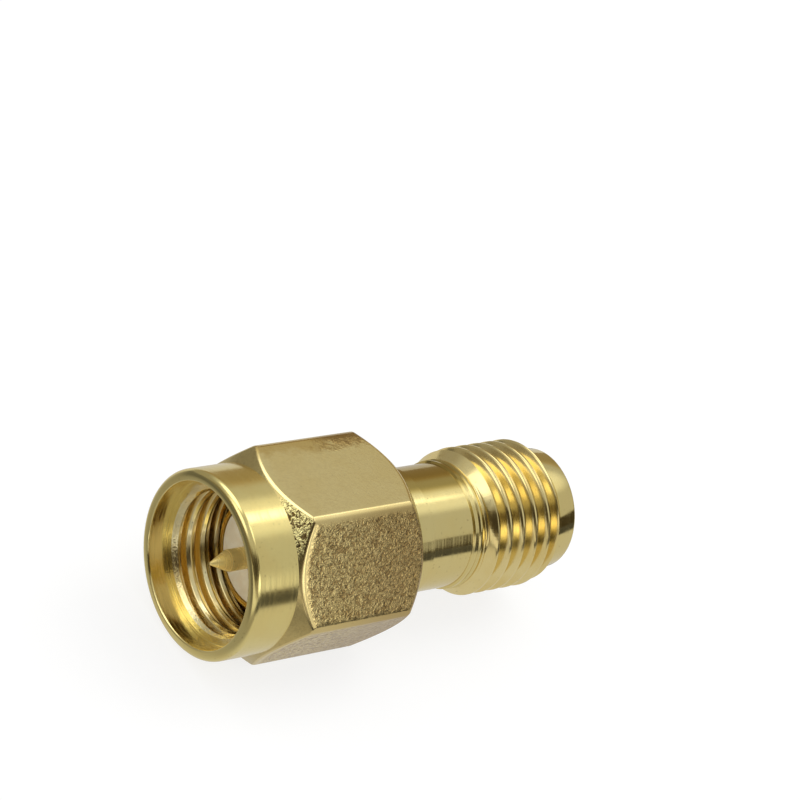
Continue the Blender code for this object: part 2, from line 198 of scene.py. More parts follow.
def turn(name, outline, rounded, steps=ROUND_STEPS):
    """Turns an outline round the axis, and rounds edges: (station, radius, width, segments)."""
    piece = draw(name, outline)
    bpy.ops.mesh.select_all(action="SELECT")
    bpy.ops.mesh.spin(steps=steps, angle=math.tau, center=(0.0, 0.0, 0.0), axis=(1.0, 0.0, 0.0))
    weld()
    for rounding in rounded:
        round_ring(piece, *rounding)
    done()
    return piece


def apply_modifiers(piece):
    make_active(piece)
    for modifier in list(piece.modifiers):
        bpy.ops.object.modifier_apply(modifier=modifier.name)


def cut(piece, tool, operation="DIFFERENCE"):
    """Cuts the piece with a tool, which is then thrown away."""
    boolean = piece.modifiers.new(operation.title(), "BOOLEAN")
    boolean.operation = operation
    boolean.solver = "EXACT"
    boolean.object = tool
    apply_modifiers(piece)
    bpy.data.objects.remove(tool, do_unlink=True)


def thread_outline(crest, root, crest_soft):
    """One pitch of a thread, from the middle of one crest to the middle of the next."""
    inward = 1.0 if root > crest else -1.0
    depth = abs(root - crest)
    crest_half = (PITCH - ROOT_FLAT) / 2 - depth * FLANK_SLOPE
    root_slide = THREAD_SOFT * FLANK_SLOPE
    half_root = ROOT_FLAT / 2
    middle = PITCH / 2
    upper = (crest_half + crest_soft * FLANK_SLOPE, crest + crest_soft * inward)
    lower = (middle - half_root - root_slide, root - THREAD_SOFT * inward)
    # Two more points near the ends of the flank keep it flat between its soft edges.
    flank = [tuple(first + (second - first) * share for first, second in zip(upper, lower))
             for share in (FLANK_MARGIN, 1.0 - FLANK_MARGIN)]
    outline = [(0.0, crest), (crest_half - crest_soft, crest), upper, *flank, lower,
               (middle - half_root + THREAD_SOFT, root)]
    return outline + [(PITCH - station, radius) for station, radius in reversed(outline)]


def thread_skin(name, crest, root, start, end, phase=0.0, crest_soft=THREAD_SOFT):
    """Open skin of a thread: its outline, screwed and then cut off at start and end."""
    turns = math.ceil((end - start) / PITCH) + 3
    skin = draw(name, thread_outline(crest, root, crest_soft))
    bpy.ops.mesh.select_all(action="SELECT")
    bpy.ops.transform.translate(value=(start - (1.0 + phase) * PITCH, 0.0, 0.0))
    done()
    screw = skin.modifiers.new("Screw", "SCREW")
    screw.axis = "X"
    screw.angle = math.tau
    screw.steps = screw.render_steps = ROUND_STEPS
    screw.iterations = turns
    screw.screw_offset = PITCH
    screw.use_smooth_shade = True
    apply_modifiers(skin)
    edit(skin)
    bpy.ops.mesh.remove_doubles(threshold=WELD)
    for station, side in ((start, "clear_outer"), (end, "clear_inner")):
        bpy.ops.mesh.select_all(action="SELECT")
        bpy.ops.mesh.bisect(plane_co=(station, 0.0, 0.0), plane_no=(-1.0, 0.0, 0.0), **{side: True})
    return skin


def open_ends(piece, station):
    pick_edges(piece, lambda edge: edge.is_boundary and all(
        abs(vert.co.x - station) < WELD for vert in edge.verts))


def thread_core(name, crest, root, start, end):
    """Solid threaded bar that cuts an inside thread."""
    core = thread_skin(name, crest, root, start, end, crest_soft=TAP_CREST_SOFT)
    for station in (start, end):
        open_ends(core, station)
        bpy.ops.mesh.edge_face_add()
    weld()
    done()
    return core


def thread_sleeve(name, crest, root, start, end, outside, phase):
    """Sleeve with a thread for its bore, which cuts an outside thread."""
    sleeve = thread_skin(name, crest, root, start, end, phase)
    grow = outside / crest
    for station in (start, end):
        open_ends(sleeve, station)
        bpy.ops.mesh.extrude_edges_move()
        bpy.ops.transform.resize(value=(1.0, grow, grow), center_override=(0.0, 0.0, 0.0))
    pick_edges(sleeve, lambda edge: edge.is_boundary)
    bpy.ops.mesh.bridge_edge_loops()
    weld()
    done()
    return sleeve


def smooth(piece, angle=32.0):
    make_active(piece)
    bpy.ops.object.shade_smooth_by_angle(angle=math.radians(angle))


def keep_flats_flat(piece):
    """Leaves the bend in the shading to the rolled edges, so that the flats stay flat."""
    weighted = piece.modifiers.new("Weighted normals", "WEIGHTED_NORMAL")
    weighted.mode = "FACE_AREA"
    weighted.weight = 100
    weighted.keep_sharp = True
    apply_modifiers(piece)


def lay_in_place(piece):
    """Lays a piece shaped in millimetres along its axis in its place in the frame, in metres."""
    make_active(piece)
    piece.location = (-HALF_LENGTH * MM, 0.0, AXIS_HEIGHT * MM)
    piece.scale = (MM, MM, MM)
    bpy.ops.object.transform_apply(location=True, rotation=True, scale=True)


def give(piece, materials, choose=None):
    """Gives a piece its materials: choose(station, distance from the axis, normal) says which."""
    piece.data.materials.clear()
    for material in materials:
        piece.data.materials.append(material)
    if choose:
        for face in piece.data.polygons:
            station = face.center.x / MM + HALF_LENGTH
            off = math.hypot(face.center.y, face.center.z - AXIS_HEIGHT * MM) / MM
            face.material_index = choose(station, off, face.normal)


# Shader nodes

def add_node(tree, kind, **settings):
    node = tree.nodes.new(kind)
    for name, value in settings.items():
        setattr(node, name, value)
    return node


def put(tree, source, target):
    """Feeds a value or another node's output into a socket."""
    if isinstance(source, bpy.types.NodeSocket):
        tree.links.new(source, target)
    elif source is not None:
        target.default_value = source


def math_node(tree, operation, first, second=None, third=None):
    node = add_node(tree, "ShaderNodeMath", operation=operation)
    for index, value in enumerate((first, second, third)):
        put(tree, value, node.inputs[index])
    return node.outputs[0]


def times(tree, first, second):
    return math_node(tree, "MULTIPLY", first, second)


def between(tree, factor, below, above):
    """Level between two others."""
    rise = math_node(tree, "SUBTRACT", above, below)
    return math_node(tree, "MULTIPLY_ADD", factor, rise, below)


def mapped(tree, value, low, high, to_low=0.0, to_high=1.0, soft=True):
    node = add_node(tree, "ShaderNodeMapRange",
                    interpolation_type="SMOOTHSTEP" if soft else "LINEAR")
    put(tree, value, node.inputs["Value"])
    put(tree, low, node.inputs["From Min"])
    put(tree, high, node.inputs["From Max"])
    put(tree, to_low, node.inputs["To Min"])
    put(tree, to_high, node.inputs["To Max"])
    return node.outputs[0]


def mixed(tree, factor, first, second):
    node = add_node(tree, "ShaderNodeMix", data_type="RGBA")
    put(tree, factor, node.inputs[0])
    put(tree, first, node.inputs[6])
    put(tree, second, node.inputs[7])
    return node.outputs[2]


def noise(tree, vector, scale, detail=2.0, roughness=0.5, distortion=0.0):
    node = add_node(tree, "ShaderNodeTexNoise")
    put(tree, vector, node.inputs["Vector"])
    put(tree, scale, node.inputs["Scale"])
    put(tree, detail, node.inputs["Detail"])
    put(tree, roughness, node.inputs["Roughness"])
    put(tree, distortion, node.inputs["Distortion"])
    return node.outputs["Fac"]


def split(tree, vector):
    """The three parts of a vector."""
    parts = add_node(tree, "ShaderNodeSeparateXYZ")
    tree.links.new(vector, parts.inputs[0])
    return parts.outputs


def joined(tree, parts):
    vector = add_node(tree, "ShaderNodeCombineXYZ")
    for index, value in enumerate(parts):
        tree.links.new(value, vector.inputs[index])
    return vector.outputs[0]


def turned_from_top(tree, around):
    """Angle round the axis from the top, towards +y, in radians."""
    _, across, up = split(tree, around)
    return math_node(tree, "ARCTAN2", across, up)


def new_group(name, inputs, outputs):
    """Node group with named sockets, and its input and output nodes."""
    tree = bpy.data.node_groups.new(name, "ShaderNodeTree")
    for in_out, sockets in (("INPUT", inputs), ("OUTPUT", outputs)):
        for socket, kind, value in sockets:
            made = tree.interface.new_socket(socket, in_out=in_out, socket_type="NodeSocket" + kind)
            if value is not None:
                made.default_value = value
    return tree, tree.nodes.new("NodeGroupInput"), tree.nodes.new("NodeGroupOutput")


def use_group(tree, group, **values):
    node = add_node(tree, "ShaderNodeGroup", node_tree=group)
    for name, value in values.items():
        put(tree, value, node.inputs[name.replace("_", " ")])
    return node


# Effects that several finishes share

# Angle from the top, in radians, within which a flat counts as the top one
TOP_FLAT_FADE = (0.56, 0.48)
# How much nearer the tumbled grain comes to the rear arcs of the hexagon than to its other edges
REAR_GRAIN = 0.3
# How much finer the pits of the tumbled grain are than its ridges, and their share of it
FINER_PITS = 2.3
PITS_SHARE = 0.22
SPECK_BROWN = (0.10, 0.05, 0.015, 1.0)


def axis_place():
    """Where a point lies: station along the axis and distance from it, in millimetres."""
    tree, _, result = new_group("axis_place", [], [
        ("Station", "Float", None), ("Reach", "Float", None), ("Around", "Vector", None)])
    place = split(tree, add_node(tree, "ShaderNodeTexCoord").outputs["Object"])
    station = math_node(tree, "MULTIPLY_ADD", place[0], 1.0 / MM, HALF_LENGTH)
    across = times(tree, place[1], 1.0 / MM)
    up = math_node(tree, "MULTIPLY_ADD", place[2], 1.0 / MM, -AXIS_HEIGHT)
    squares = math_node(tree, "ADD", times(tree, across, across), times(tree, up, up))
    tree.links.new(station, result.inputs["Station"])
    tree.links.new(math_node(tree, "SQRT", squares), result.inputs["Reach"])
    tree.links.new(joined(tree, (station, across, up)), result.inputs["Around"])
    return tree


def hexagon_place():
    """How far a point of a flat lies inside its edges, and whether its flat is the top one."""
    tree, given, result = new_group("hexagon_place", [
        ("Reach", "Float", None), ("Around", "Vector", None)],
        [("Inside", "Float", None), ("Top", "Float", None)])
    off = given.outputs["Reach"]
    station = split(tree, given.outputs["Around"])[0]
    turned = turned_from_top(tree, given.outputs["Around"])
    off_middle = math_node(tree, "PINGPONG", turned, math.pi / 6)
    sideways = times(tree, off, math_node(tree, "SINE", off_middle))
    to_corner = math_node(tree, "SUBTRACT", HEX_CORNER / 2, sideways)
    front_cone = math_node(tree, "ADD", off, NOSE_LENGTH - NOSE_RADIUS)
    to_front = math_node(tree, "SUBTRACT", station, front_cone)
    rear_cone = math_node(tree, "SUBTRACT", NUT_LENGTH - REAR_CHAMFER + HEX_CORNER, off)
    to_rear = math_node(tree, "ADD", math_node(tree, "SUBTRACT", rear_cone, station), REAR_GRAIN)
    nearest = math_node(tree, "MINIMUM", to_corner, math_node(tree, "MINIMUM", to_front, to_rear))
    tree.links.new(nearest, result.inputs["Inside"])
    top = mapped(tree, math_node(tree, "ABSOLUTE", turned), *TOP_FLAT_FADE)
    tree.links.new(top, result.inputs["Top"])
    return tree


def turning_marks():
    """Fine rings left by the turning tool, broken up round the piece."""
    tree, given, result = new_group("turning_marks", [
        ("Around", "Vector", None), ("Ring Scale", "Float", 9.0), ("Break Up", "Float", 0.35)],
        [("Height", "Float", None), ("Mask", "Float", None)])
    scales = ("Ring Scale", "Break Up", "Break Up")
    squeezed = joined(tree, [times(tree, part, given.outputs[scale])
                             for part, scale in zip(split(tree, given.outputs["Around"]), scales)])
    rings = noise(tree, squeezed, scale=1.0, detail=3.0, roughness=0.65)
    tree.links.new(rings, result.inputs["Height"])
    tree.links.new(mapped(tree, rings, 0.42, 0.62), result.inputs["Mask"])
    return tree


def tumbled_grain():
    """Orange peel of barrel-plated flats: short wavy ridges with finer pits among them."""
    tree, given, result = new_group("tumbled_grain", [
        ("Around", "Vector", None), ("Cell Scale", "Float", 7.0)],
        [("Height", "Float", None), ("Pits", "Float", None)])
    around, scale = given.outputs["Around"], given.outputs["Cell Scale"]
    coarse = noise(tree, around, scale, roughness=0.6, distortion=1.1)
    fine = noise(tree, around, times(tree, scale, FINER_PITS), roughness=0.6)
    height = math_node(tree, "MULTIPLY_ADD", fine, PITS_SHARE, coarse)
    tree.links.new(height, result.inputs["Height"])
    tree.links.new(mapped(tree, height, 0.66, 0.50), result.inputs["Pits"])
    return tree


def plating():
    """Colour of the gold: it drifts slowly from pale to ochre, with a few dark specks."""
    tree, given, result = new_group("plating", [
        ("Around", "Vector", None), ("Pale", "Color", None), ("Ochre", "Color", None),
        ("Drift", "Float", 0.5), ("Specks", "Float", 0.3)],
        [("Color", "Color", None), ("Speck Mask", "Float", None)])
    around = given.outputs["Around"]
    slow = noise(tree, around, scale=0.55, detail=3.0, roughness=0.55)
    drift = times(tree, mapped(tree, slow, 0.35, 0.68), given.outputs["Drift"])
    colour = mixed(tree, drift, given.outputs["Pale"], given.outputs["Ochre"])
    dots = noise(tree, around, scale=9.0, detail=1.0, roughness=0.4)
    dots = times(tree, mapped(tree, dots, 0.71, 0.77), given.outputs["Specks"])
    colour = mixed(tree, dots, colour, SPECK_BROWN)
    tree.links.new(colour, result.inputs["Color"])
    tree.links.new(dots, result.inputs["Speck Mask"])
    return tree


GROUPS = {"place": axis_place(), "hexagon": hexagon_place(), "marks": turning_marks(),
          "grain": tumbled_grain(), "plating": plating()}

# Colours of the plating
PALE_GOLD = (0.81, 0.68, 0.28, 1.0)
FLAT_GOLD = (0.84, 0.69, 0.32, 1.0)
CHAMFER_GOLD = (0.90, 0.80, 0.36, 1.0)
BODY_GOLD = (0.75, 0.63, 0.28, 1.0)
THREAD_GOLD = (0.85, 0.71, 0.34, 1.0)
PIN_GOLD = (1.0, 0.78, 0.28, 1.0)
NUT_BORE_GOLD = (0.97, 0.86, 0.50, 1.0)
JACK_BORE_GOLD = (0.78, 0.60, 0.22, 1.0)
MOUTH_GOLD = (0.92, 0.77, 0.34, 1.0)
# Ochre of the nut's bore, which also serves as painted shade in its thread's grooves
OCHRE_AND_GROOVE_SHADE = (0.80, 0.60, 0.24, 1.0)
OCHRE_GOLD = (0.76, 0.57, 0.19, 1.0)
DEEP_OCHRE = (0.66, 0.47, 0.15, 1.0)
BORE_OCHRE = (0.60, 0.38, 0.11, 1.0)
BROWN_GOLD = (0.36, 0.235, 0.085, 1.0)
# Painted shade over the top of the neck
TOP_SHADE_BROWN = (0.46, 0.33, 0.08, 1.0)
# Painted shade in the chamfers' pits and deep in the nut's bore
SHADE_BROWN = (0.14, 0.085, 0.025, 1.0)

# PTFE, tinted with painted warm light from the gold round it
SHADED_PTFE = (0.95, 0.82, 0.56, 1.0)
LIGHT_PTFE = (1.0, 0.90, 0.66, 1.0)

# The corner of the hexagon with the coarsest speckle, as an angle from the top, and the
# cosines of the angle from it between which the speckle grows to its full coarseness
ROUGH_CORNER = math.radians(30.0)
ROUGH_FADE = (0.93, 0.985)
FINE_SPECKLE = 0.12

# How far, in millimetres, the stain on the top flat is ragged
RAGGED = 1.4

# Angles from the top, in radians, between which the painted shade over the top of the neck sets in:
# brown that stands in for a dark reflection there
TOP_SHADE_FADE = (-0.28, -0.12)

# Distances from the axis at which the wall of the nut's mouth starts, and its burrs end
MOUTH_FADE = (3.33, 3.38)
BURR_FADE = (3.36, 3.26)
BURR_HEIGHT = 5.0


def new_finish(name, metallic=1.0, roughness=0.3):
    """Material, its nodes, its shader and the group that says where a point lies."""
    material = bpy.data.materials.new(name)
    material.use_nodes = True
    tree = material.node_tree
    shader = tree.nodes["Principled BSDF"]
    shader.inputs["Metallic"].default_value = metallic
    shader.inputs["Roughness"].default_value = roughness
    return material, tree, shader, use_group(tree, GROUPS["place"])


def bumped(tree, shader, height, distance):
    bump = add_node(tree, "ShaderNodeBump")
    bump.inputs["Distance"].default_value = distance * MM
    bump.inputs["Strength"].default_value = 1.0
    tree.links.new(height, bump.inputs["Height"])
    tree.links.new(bump.outputs["Normal"], shader.inputs["Normal"])


def roughened(tree, shader, mask, low, high, start=0.0):
    """Roughness from low, where the mask is at its start, to high, where it is 1."""
    tree.links.new(mapped(tree, mask, start, 1.0, low, high, soft=False),
                   shader.inputs["Roughness"])


def gold_turned(name, drift=0.3, low=0.15, high=0.22, depth=0.0006, ring_scale=9.0,
                pale=PALE_GOLD, metallic=1.0, rough_until=None, top_shade_until=None):
    """Turned and plated surface, satin with fine rings, which fade out past one station."""
    material, tree, shader, place = new_finish(name, metallic)
    around, station = place.outputs["Around"], place.outputs["Station"]
    marks = use_group(tree, GROUPS["marks"], Around=around, Ring_Scale=ring_scale)
    colour = use_group(tree, GROUPS["plating"], Around=around, Pale=pale, Ochre=OCHRE_GOLD,
                       Drift=drift, Specks=0.3)
    shown = colour.outputs["Color"]
    # Painted shade: up to one station, the top of the piece turns brown, which stands in for a dark
    # reflection there.
    if top_shade_until:
        painted_top_shade = times(tree, mapped(tree, turned_from_top(tree, around), *TOP_SHADE_FADE),
                         mapped(tree, station, top_shade_until + 0.2, top_shade_until))
        shown = mixed(tree, times(tree, painted_top_shade, 0.9), shown, TOP_SHADE_BROWN)
    tree.links.new(shown, shader.inputs["Base Color"])
    roughened(tree, shader, marks.outputs["Mask"], low, high)
    height = marks.outputs["Height"]
    if rough_until:
        fade = mapped(tree, station, rough_until, rough_until + 0.8, 1.0, 0.25)
        height = times(tree, height, fade)
    bumped(tree, shader, height, depth)
    return material


def gold_tumbled(name):
    """Flats of the nut: orange peel that dies out in smooth, rolled borders."""
    material, tree, shader, place = new_finish(name)
    around = place.outputs["Around"]
    hexagon = use_group(tree, GROUPS["hexagon"], Reach=place.outputs["Reach"], Around=around)
    grain = use_group(tree, GROUPS["grain"], Around=around, Cell_Scale=5.2)
    colour = use_group(tree, GROUPS["plating"], Around=around, Pale=FLAT_GOLD, Ochre=OCHRE_GOLD,
                       Drift=0.25, Specks=0.2)
    station, across, _ = split(tree, around)
    top = hexagon.outputs["Top"]
    not_top = math_node(tree, "SUBTRACT", 1.0, top)

    # A ragged brown stain lies in the far rear corner of the top flat, in a band of ochre.
    ragged = noise(tree, around, scale=1.6, detail=3.0, roughness=0.6)
    ragged = math_node(tree, "MULTIPLY_ADD", ragged, RAGGED, -RAGGED / 2)
    ragged_across = math_node(tree, "ADD", across, ragged)
    far_side = mapped(tree, ragged_across, 1.2, 2.1)
    ochre_side = mapped(tree, ragged_across, 1.3, 1.9)
    stain = times(tree, far_side,
                  mapped(tree, math_node(tree, "ADD", station, ragged), 5.2, 6.4))
    toned = mixed(tree, times(tree, times(tree, ochre_side, top), 0.8),
                  colour.outputs["Color"], DEEP_OCHRE)
    toned = mixed(tree, times(tree, times(tree, stain, top), 0.80), toned, BROWN_GOLD)

    # Painted shade: the other flats are darkened towards brown, more so towards the rear, and they
    # keep all of their grain.
    rear_shade = times(tree, mapped(tree, station, 3.0, 7.6, 0.25, 0.65), not_top)
    toned = mixed(tree, rear_shade, toned, BROWN_GOLD)
    smooth_top = times(tree, top, math_node(tree, "SUBTRACT", 1.0, stain))
    inner = mapped(tree, hexagon.outputs["Inside"], 0.12, 0.42)
    amount = times(tree, inner, math_node(tree, "MULTIPLY_ADD", smooth_top, -0.90, 1.0))
    # Painted shade in the pits of the grain, which are darkened towards brown.
    pits = times(tree, times(tree, grain.outputs["Pits"], amount), 0.80)
    tree.links.new(mixed(tree, pits, toned, BROWN_GOLD), shader.inputs["Base Color"])
    roughened(tree, shader, amount, 0.18, 0.24)
    bumped(tree, shader, times(tree, grain.outputs["Height"], amount), 0.048)
    return material


def gold_speckled(name):
    """Turned chamfers of the nut, granular with bright and dark specks; the dark ones are random
    specks and painted shade in the pits.
    """
    material, tree, shader, place = new_finish(name)
    around = place.outputs["Around"]
    grain = use_group(tree, GROUPS["grain"], Around=around, Cell_Scale=6.5)
    colour = use_group(tree, GROUPS["plating"], Around=around, Pale=CHAMFER_GOLD,
                       Ochre=OCHRE_GOLD, Drift=0.4, Specks=0.5)
    from_corner = math_node(tree, "ADD", turned_from_top(tree, around), ROUGH_CORNER)
    coarse = mapped(tree, math_node(tree, "COSINE", from_corner), *ROUGH_FADE, FINE_SPECKLE, 1.0)
    browned = mixed(tree, mapped(tree, coarse, FINE_SPECKLE, 0.6, 0.55, 0.0),
                    colour.outputs["Color"], BROWN_GOLD)
    # Painted shade in the pits of the grain, darkest where the speckle is coarsest.
    pits = times(tree, grain.outputs["Pits"], coarse)
    tree.links.new(mixed(tree, pits, browned, SHADE_BROWN), shader.inputs["Base Color"])
    roughened(tree, shader, coarse, 0.26, 0.20, start=FINE_SPECKLE)
    bumped(tree, shader, times(tree, grain.outputs["Height"], coarse), 0.045)
    return material


def gold_bore(name, pale, ochre, depth, burrs_until=None, grooves=None):
    """Inside of a bore: less evenly plated, with the tool's rings and burrs where it starts.

    grooves gives the reach of a thread's crest and root, and the station where it starts.
    """
    material, tree, shader, place = new_finish(name)
    around, station, off = (place.outputs[part] for part in ("Around", "Station", "Reach"))
    marks = use_group(tree, GROUPS["marks"], Around=around, Ring_Scale=14.0, Break_Up=0.8)
    colour = use_group(tree, GROUPS["plating"], Around=around, Pale=pale, Ochre=ochre, Drift=0.7,
                       Specks=0.5)
    shown = colour.outputs["Color"]
    if grooves:
        crest, root, start = grooves
        # Painted shade: the thread's grooves are darkened towards ochre.
        groove = times(tree, mapped(tree, off, crest, root),
                       mapped(tree, station, start, start + 0.25))
        shown = mixed(tree, times(tree, groove, 0.9), shown, OCHRE_AND_GROOVE_SHADE)
        # Painted shade: the bore darkens deeper into the nut.
        deep_shade = mapped(tree, station, start + 0.9, start + 3.2, 0.0, 0.6)
        shown = mixed(tree, deep_shade, shown, SHADE_BROWN)
        shown = mixed(tree, mapped(tree, off, *MOUTH_FADE), shown, MOUTH_GOLD)
    tree.links.new(shown, shader.inputs["Base Color"])
    roughened(tree, shader, marks.outputs["Mask"], 0.14, 0.26)
    height = marks.outputs["Height"]
    if burrs_until:
        grain = use_group(tree, GROUPS["grain"], Around=around, Cell_Scale=7.0)
        torn = times(tree, mapped(tree, station, burrs_until + 0.3, burrs_until),
                     mapped(tree, off, *BURR_FADE))
        height = math_node(tree, "MULTIPLY_ADD", times(tree, torn, BURR_HEIGHT),
                           grain.outputs["Height"], height)
    bumped(tree, shader, height, depth)
    return material


def ptfe(name):
    """White PTFE face, waxy and faintly mottled, tinted with painted warm light from the gold round
    it.
    """
    material, tree, shader, place = new_finish(name, metallic=0.0, roughness=0.42)
    cloud = noise(tree, place.outputs["Around"], scale=2.2, detail=3.0, roughness=0.6)
    colour = mixed(tree, mapped(tree, cloud, 0.35, 0.7), SHADED_PTFE, LIGHT_PTFE)
    tree.links.new(colour, shader.inputs["Base Color"])
    bumped(tree, shader, cloud, 0.004)
    return material


# Pieces

# Points of the nut closer than this are merged before its hexagon's edges are rolled.
SLIVER = 0.004
# No edge of the hexagon comes nearer to the axis than this.
HEXAGON_REACH = 3.95
# How far along the axis the normal of a flat and of a chamfer may point
FLAT_LEAN = 0.1
CHAMFER_LEAN = (0.5, 0.9)
# The long edges of the hexagon fold by more than this, in radians.
LONG_FOLD = 0.5


def make_hex_bar():
    """Hexagon bar with two of its flats facing up and down."""
    deselect()
    bpy.ops.mesh.primitive_cylinder_add(vertices=6, radius=HEX_CORNER, depth=NUT_LENGTH + 1.0,
                                        location=(NUT_LENGTH / 2, 0.0, 0.0),
                                        rotation=(0.0, math.pi / 2, 0.0))
    bar = bpy.context.active_object
    bpy.ops.object.transform_apply(location=True, rotation=True, scale=True)
    edit(bar)
    highest = max(vert.co.z for vert in bar.data.vertices)
    if highest > FLATS_HALF + WELD:
        bpy.ops.transform.rotate(value=math.pi / 6, orient_axis="X",
                                 center_override=(0.0, 0.0, 0.0))
    done()
    return bar


def soften_hexagon(nut):
    """Rolls over the hexagon's long edges, and less so the arcs where flats meet cones."""
    edit(nut)
    bpy.ops.mesh.remove_doubles(threshold=SLIVER)
    mesh = bmesh.from_edit_mesh(nut.data)
    share = mesh.edges.layers.float.new("bevel_weight_edge")
    for edge in mesh.edges:
        if len(edge.link_faces) != 2 or min(reach(vert.co) for vert in edge.verts) < HEXAGON_REACH:
            continue
        less, more = sorted(abs(face.normal.x) for face in edge.link_faces)
        if less < FLAT_LEAN and CHAMFER_LEAN[0] < more < CHAMFER_LEAN[1]:
            edge[share] = ARC_ROLL / LONG_ROLL
        elif more < FLAT_LEAN and edge.calc_face_angle() > LONG_FOLD:
            edge[share] = 1.0
    bmesh.update_edit_mesh(nut.data)
    done()
    roll = nut.modifiers.new("Rolled edges", "BEVEL")
    roll.limit_method = "WEIGHT"
    roll.width = LONG_ROLL
    roll.segments = 4
    roll.use_clamp_overlap = False
    apply_modifiers(nut)


def make_nut():
    nut = turn("nut_dressed", NUT_PROFILE, (
        (0.0, NOSE_RADIUS, 0.30, 6), (0.0, MOUTH_RADIUS, 0.10, 3),
        (MOUTH_DEPTH, MOUTH_RADIUS, 0.04, 2), (NUT_LENGTH, REAR_FACE, 0.06, 2)))
    cut(nut, thread_core("nut_tap", crest=2.88, root=3.24, start=0.62, end=5.05))
    cut(nut, make_hex_bar(), "INTERSECT")
    soften_hexagon(nut)
    smooth(nut)
    keep_flats_flat(nut)
    lay_in_place(nut)
    return nut


def make_body():
    body = turn("body_dressed", BODY_PROFILE, (
        (18.04, 2.60, 0.09, 3), (17.12, 2.60, 0.03, 1), (9.1, 2.83, 0.03, 2),
        (10.1, 2.75, 0.02, 1), (2.75, 2.275, 0.05, 2)))
    cut(body, thread_sleeve("jack_die", crest=3.15, root=2.74, start=JACK_THREAD,
                            end=JACK_THREAD + JACK_TURNS * PITCH, outside=4.5, phase=0.54))
    smooth(body)
    lay_in_place(body)
    return body


def make_pin():
    """Centre contact: a pin with a sharp cone at the plug and a blunter tip in the jack."""
    pin = turn("pin_dressed", PIN_PROFILE, (
        (1.53, 0.46, 0.012, 1), (17.35, 0.46, 0.03, 2), (0.68, 0.07, 0.03, 2),
        (17.95, 0.07, 0.03, 2)), PIN_STEPS)
    smooth(pin, 18.0)
    lay_in_place(pin)
    return pin


def make_insulator(name, face, joint):
    """Insulator from its visible face to the joint in the middle, bored for pin and flange."""
    toward = 1.0 if joint > face else -1.0
    shank = face + toward * 0.35
    flange = joint - toward * 0.23
    insulator = turn(name, [
        (face, PTFE_RADIUS), (face, PIN_BORE), (shank, PIN_BORE), (shank, SHANK_BORE),
        (flange, SHANK_BORE), (flange, FLANGE_BORE), (joint, FLANGE_BORE),
        (joint, PTFE_RADIUS), (face, PTFE_RADIUS)], ((face, PTFE_RADIUS, 0.06, 2),), PIN_STEPS)
    smooth(insulator)
    lay_in_place(insulator)
    return insulator


# Distances from the axis that part the bore of the nut, the wall of its mouth and its outside
BORE_EDGE = 3.56
MOUTH_EDGE = 3.45
OUTSIDE_EDGE = 3.60


def nut_zone(station, off, normal):
    """0 for the turned nose and faces, 1 for the flats, 2 for the bore, 3 for the chamfers."""
    behind_rim = off < BORE_EDGE and station > 0.02
    mouth_wall = off < MOUTH_EDGE and abs(normal.x) < 0.9
    if behind_rim or mouth_wall:
        return 2
    if NOSE_LENGTH + 0.005 < station < NUT_LENGTH - 0.02 and off > OUTSIDE_EDGE:
        return 3 if 0.60 < abs(normal.x) < 0.80 else 1
    return 0


# Distances from the axis that part the bores and the sleeve of the body from its thread
SLEEVE_EDGE = 2.36
THREAD_EDGE = 2.5


def body_zone(station, off, normal):
    """0 for the turned outside, 1 for the thread, 2 for the bores and the plug's sleeve."""
    if off < SLEEVE_EDGE:
        return 2
    on_thread = JACK_THREAD + 0.01 < station < JACK_STEP and off > THREAD_EDGE
    return 1 if on_thread else 0


nose_gold = gold_turned("gold_turned_nose")
flat_gold = gold_tumbled("gold_tumbled_flats")
chamfer_gold = gold_speckled("gold_speckled_chamfers")
bore_gold = gold_bore("gold_cut_bore", NUT_BORE_GOLD, OCHRE_AND_GROOVE_SHADE, depth=0.003,
                      burrs_until=1.35, grooves=(2.93, 3.06, MOUTH_DEPTH))
body_gold = gold_turned("gold_turned_body", low=0.09, high=0.16, depth=0.0011, ring_scale=12.0,
                        pale=BODY_GOLD, rough_until=9.9, top_shade_until=12.5)
thread_gold = gold_turned("gold_cut_thread", drift=0.5, low=0.14, ring_scale=6.0,
                          pale=THREAD_GOLD)
jack_bore_gold = gold_bore("gold_jack_bore", JACK_BORE_GOLD, BORE_OCHRE, depth=0.001)
pin_gold = gold_turned("gold_pin", drift=0.2, low=0.22, high=0.28, depth=0.0002, pale=PIN_GOLD,
                       metallic=0.4)
bronze = gold_turned("bronze_ring", drift=0.9)
white_ptfe = ptfe("white_ptfe")

nut = make_nut()
give(nut, [nose_gold, flat_gold, bore_gold, chamfer_gold], nut_zone)
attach(nut, "nut")
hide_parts("coupling_nut")

body = make_body()
give(body, [body_gold, thread_gold, jack_bore_gold], body_zone)
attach(body, "adapter")
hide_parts("adapter_body")

pin = make_pin()
give(pin, [pin_gold])
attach(pin, "adapter")
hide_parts("centre_contact")

for name, node, face, joint, slot in (
        ("plug_face", "plug_insulator", 2.79, 9.37, "plug_ptfe"),
        ("jack_face", "jack_insulator", 16.0, 9.42, "jack_ptfe")):
    insulator = make_insulator(name, face, joint)
    give(insulator, [white_ptfe])
    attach(insulator, "adapter")
    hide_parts(node)

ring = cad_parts["retaining_ring"]
give(ring, [bronze])


# Camera at the photo's place, in front of the plug and above

VIEW_TURN = math.radians(51.258)
VIEW_DIP = math.radians(5.528)
FLAT_ROLL = math.radians(40.22)
FIELD_OF_VIEW = math.radians(14.50)
FRONT_FACE_SEEN = Vector((-8.115, 6.480, 125.114))
# In the photo the loose nut leans by about 2 degrees, so a slight roll shares what differs.
CAMERA_ROLL = math.radians(0.9)
CAMERA_SWING = math.radians(0.04)


